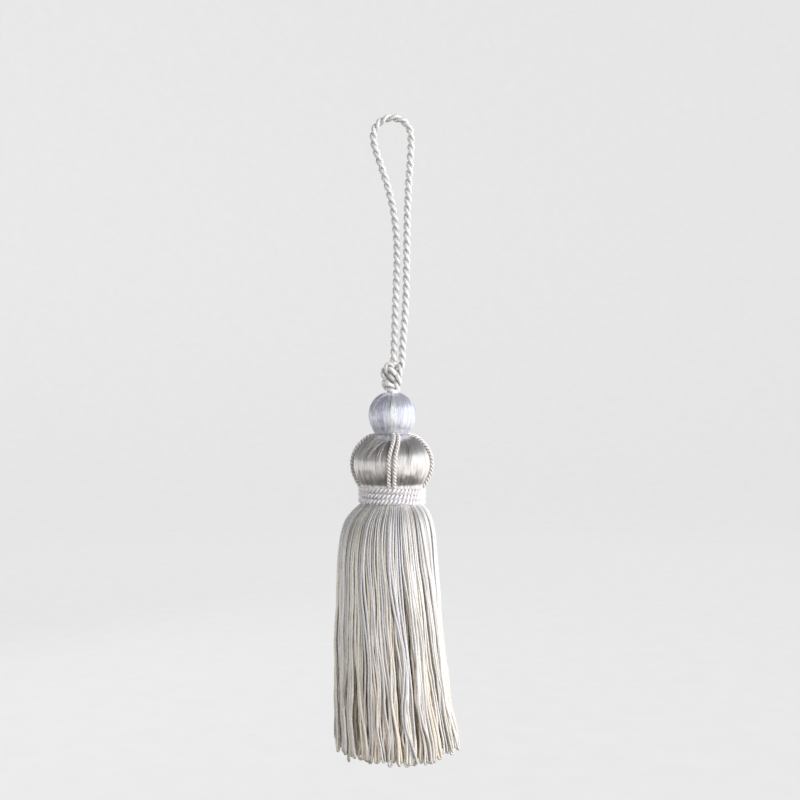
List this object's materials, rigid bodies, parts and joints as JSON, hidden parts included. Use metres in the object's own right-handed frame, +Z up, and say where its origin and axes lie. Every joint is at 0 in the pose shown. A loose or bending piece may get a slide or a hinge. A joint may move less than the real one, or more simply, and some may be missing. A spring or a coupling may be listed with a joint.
{
  "type": "key tassel",
  "caption": "Ivory key tassel: satin-covered ball and head with gimp cords, a corded collar and a looped bullion skirt, hung by a knotted loop of twisted cord.",
  "frame": {"origin": "hang point: inside of the loop's top, where a hook or knob carries the tassel", "axes": "+Z up along the tassel's axis, +X to the right in the plane of the loop, -Y to the front"},
  "size_m": [0.0507, 0.0508, 0.2553],
  "materials": {
    "twisted_cord": "two-ply twisted rayon cord, white and silver grey, soft sheen",
    "satin_white": "white satin thread laid vertically, cool silky sheen",
    "satin_cream": "ivory satin thread laid vertically, silky sheen",
    "gimp_cord": "narrow two-ply twisted cord, ivory",
    "collar_cord": "two-ply twisted cord, white",
    "fringe_yarn": "fine twisted rayon yarn, mixed ivory, cream and white, silky sheen"
  },
  "bodies": {
    "root": {"hanging_loop": "twisted_cord", "loop_knot": "twisted_cord", "ball": "satin_white", "head": "satin_cream", "gimp_front_1": "gimp_cord", "gimp_front_2": "gimp_cord", "gimp_right_1": "gimp_cord", "gimp_right_2": "gimp_cord", "gimp_back_1": "gimp_cord", "gimp_back_2": "gimp_cord", "gimp_left_1": "gimp_cord", "gimp_left_2": "gimp_cord", "collar": "collar_cord", "skirt": "fringe_yarn"}
  },
  "joints": []
}
